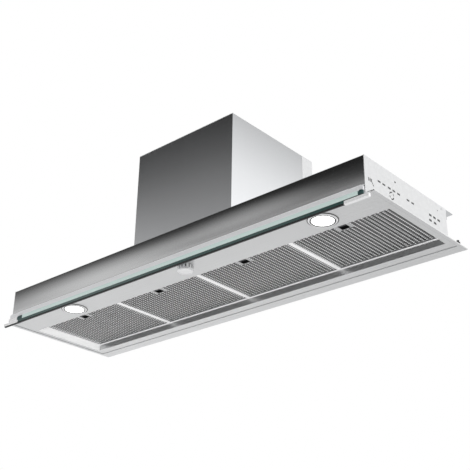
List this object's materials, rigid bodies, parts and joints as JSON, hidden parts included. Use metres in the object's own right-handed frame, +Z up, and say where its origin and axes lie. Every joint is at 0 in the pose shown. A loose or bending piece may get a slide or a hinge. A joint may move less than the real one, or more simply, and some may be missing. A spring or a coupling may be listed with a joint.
{
  "type": "built-in kitchen extractor hood",
  "caption": "Wide built-in extractor hood with a pull-out glass visor, drop-down mesh grease filters, round lamps, a rotary control and a motor tower.",
  "frame": {"origin": "on the seat face, the top of the rear flange strip, at the middle of the hood's width and of the strip's depth", "axes": "+X along the front towards the right lamp, +Y back towards the wall, +Z up"},
  "size_m": [1.195, 0.379, 0.4106],
  "materials": {
    "brushed_steel": "satin",
    "bay_steel": "satin",
    "galvanised": "satin",
    "rail_steel": "satin",
    "glass": "gloss",
    "satin_aluminium": "satin",
    "chrome": "gloss",
    "black_plastic": "matte",
    "grey_plastic": "matte",
    "white_plastic": "gloss",
    "motor_paint": "satin",
    "lamp_lens": "frosted",
    "filter_mesh": "satin"
  },
  "bodies": {
    "hood": {"bottom_flange": "brushed_steel", "filter_bay_frame": "bay_steel", "filter_dividers": "bay_steel", "fascia_panel": "brushed_steel", "left_side_panel": "galvanised", "right_side_panel": "galvanised", "rear_panel": "galvanised", "top_panel": "galvanised", "left_guide_rail": "rail_steel", "right_guide_rail": "rail_steel", "tower_front_cover": "brushed_steel", "tower_rear_cover": "galvanised", "tower_lid": "galvanised", "outlet_collar": "black_plastic", "damper_pin": "rail_steel", "volute_band": "galvanised", "left_volute_side": "galvanised", "right_volute_side": "galvanised", "motor": "motor_paint", "motor_bracket": "galvanised", "capacitor": "white_plastic", "control_box": "black_plastic", "led_driver": "white_plastic", "cable_gland": "black_plastic", "selector_switch": "black_plastic", "left_wall_bracket": "galvanised", "right_wall_bracket": "galvanised", "seat_clamps": "black_plastic", "fixing_screws": "rail_steel", "left_lamp_ring": "chrome", "left_lamp_lens": "lamp_lens", "left_lamp_module": "satin_aluminium", "right_lamp_ring": "chrome", "right_lamp_lens": "lamp_lens", "right_lamp_module": "satin_aluminium"},
    "visor": {"visor_glass": "glass", "visor_profile": "satin_aluminium", "visor_edge_glass": "glass", "left_end_cap": "chrome", "right_end_cap": "chrome", "left_slide": "rail_steel", "right_slide": "rail_steel"},
    "knob": {"control_knob": "chrome", "knob_spindle": "rail_steel"},
    "rotor": {"impeller": "grey_plastic", "motor_shaft": "rail_steel"},
    "front_flap": {"front_damper_flap": "grey_plastic"},
    "rear_flap": {"rear_damper_flap": "grey_plastic"},
    "filter_1": {"filter_1_frame": "satin_aluminium", "filter_1_mesh": "filter_mesh"},
    "latch_1": {"filter_1_latch": "black_plastic"},
    "filter_2": {"filter_2_frame": "satin_aluminium", "filter_2_mesh": "filter_mesh"},
    "latch_2": {"filter_2_latch": "black_plastic"},
    "filter_3": {"filter_3_frame": "satin_aluminium", "filter_3_mesh": "filter_mesh"},
    "latch_3": {"filter_3_latch": "black_plastic"},
    "filter_4": {"filter_4_frame": "satin_aluminium", "filter_4_mesh": "filter_mesh"},
    "latch_4": {"filter_4_latch": "black_plastic"}
  },
  "joints": [
    {"name": "visor_pull", "type": "slide", "parent": "hood", "child": "visor", "axis": [0, -1, 0], "range_m": [0, 0.045]},
    {"name": "knob_turn", "type": "hinge", "parent": "hood", "child": "knob", "pos_m": [0.049, -0.3125, -0.008], "axis": [0, 0, 1], "range_deg": [-240, 0]},
    {"name": "rotor_spin", "type": "hinge", "parent": "hood", "child": "rotor", "pos_m": [0.05, -0.213, 0.1948], "axis": [1, 0, 0], "continuous": true},
    {"name": "front_flap_open", "type": "hinge", "parent": "hood", "child": "front_flap", "pos_m": [0.05, -0.142, 0.3496], "axis": [-1, 0, 0], "range_deg": [0, 75]},
    {"name": "rear_flap_open", "type": "hinge", "parent": "hood", "child": "rear_flap", "pos_m": [0.05, -0.142, 0.3496], "axis": [1, 0, 0], "range_deg": [0, 75]},
    {"name": "filter_1_drop", "type": "hinge", "parent": "hood", "child": "filter_1", "pos_m": [-0.4305, -0.04, 0.023], "axis": [1, 0, 0], "range_deg": [0, 70]},
    {"name": "latch_1_slide", "type": "slide", "parent": "filter_1", "child": "latch_1", "axis": [0, 1, 0], "range_m": [0, 0.006], "stiffness_N_per_m": 300, "springref_m": -0.003},
    {"name": "filter_2_drop", "type": "hinge", "parent": "hood", "child": "filter_2", "pos_m": [-0.1435, -0.04, 0.023], "axis": [1, 0, 0], "range_deg": [0, 70]},
    {"name": "latch_2_slide", "type": "slide", "parent": "filter_2", "child": "latch_2", "axis": [0, 1, 0], "range_m": [0, 0.006], "stiffness_N_per_m": 300, "springref_m": -0.003},
    {"name": "filter_3_drop", "type": "hinge", "parent": "hood", "child": "filter_3", "pos_m": [0.1435, -0.04, 0.023], "axis": [1, 0, 0], "range_deg": [0, 70]},
    {"name": "latch_3_slide", "type": "slide", "parent": "filter_3", "child": "latch_3", "axis": [0, 1, 0], "range_m": [0, 0.006], "stiffness_N_per_m": 300, "springref_m": -0.003},
    {"name": "filter_4_drop", "type": "hinge", "parent": "hood", "child": "filter_4", "pos_m": [0.4305, -0.04, 0.023], "axis": [1, 0, 0], "range_deg": [0, 70]},
    {"name": "latch_4_slide", "type": "slide", "parent": "filter_4", "child": "latch_4", "axis": [0, 1, 0], "range_m": [0, 0.006], "stiffness_N_per_m": 300, "springref_m": -0.003}
  ]
}
